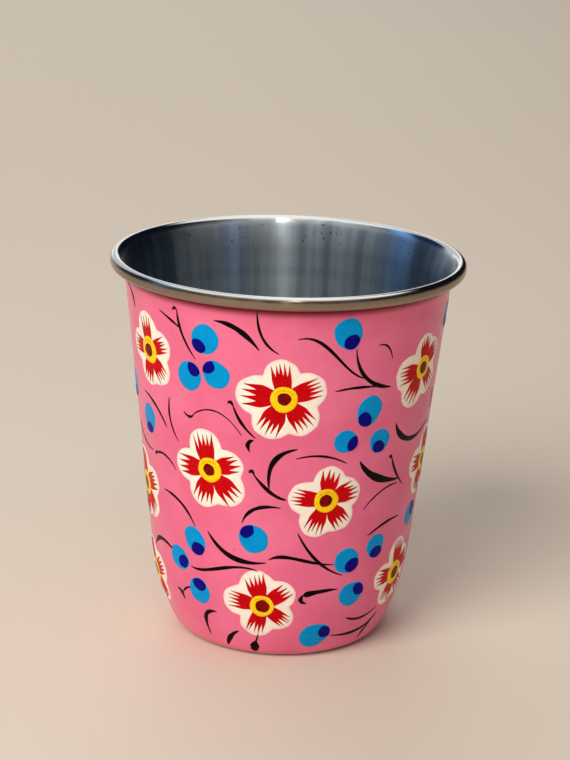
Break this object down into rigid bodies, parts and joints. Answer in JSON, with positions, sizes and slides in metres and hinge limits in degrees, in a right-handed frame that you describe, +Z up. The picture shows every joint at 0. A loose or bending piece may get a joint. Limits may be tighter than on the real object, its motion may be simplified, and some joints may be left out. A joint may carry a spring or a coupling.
{
  "type": "steel tumbler",
  "caption": "Handleless steel drinking tumbler with a tapered wall, rolled rim and rounded foot, pink enamel outside with hand-painted blossoms, berries and stems.",
  "frame": {"origin": "middle of the base, on the plane of the standing ring", "axes": "+Z up along the cup's axis, -Y towards the side of the pattern that the picture shows"},
  "size_m": [0.085, 0.085, 0.0935],
  "materials": {
    "steel": "spun satin inside, polished on the rolled rim",
    "pink_enamel": "gloss enamel paint",
    "cream_paint": "varnished brush paint",
    "red_paint": "varnished brush paint",
    "yellow_paint": "varnished brush paint",
    "maroon_paint": "varnished brush paint",
    "blue_paint": "varnished brush paint",
    "navy_paint": "varnished brush paint",
    "black_paint": "varnished brush paint"
  },
  "bodies": {
    "root": {"steel_cup": "steel", "enamel_coat": "pink_enamel", "base_enamel": "pink_enamel", "petal_paint": "cream_paint", "petal_stroke_paint": "red_paint", "blossom_ring_paint": "yellow_paint", "blossom_eye_paint": "maroon_paint", "berry_paint": "blue_paint", "berry_eye_paint": "navy_paint", "stem_paint": "black_paint"}
  },
  "joints": []
}
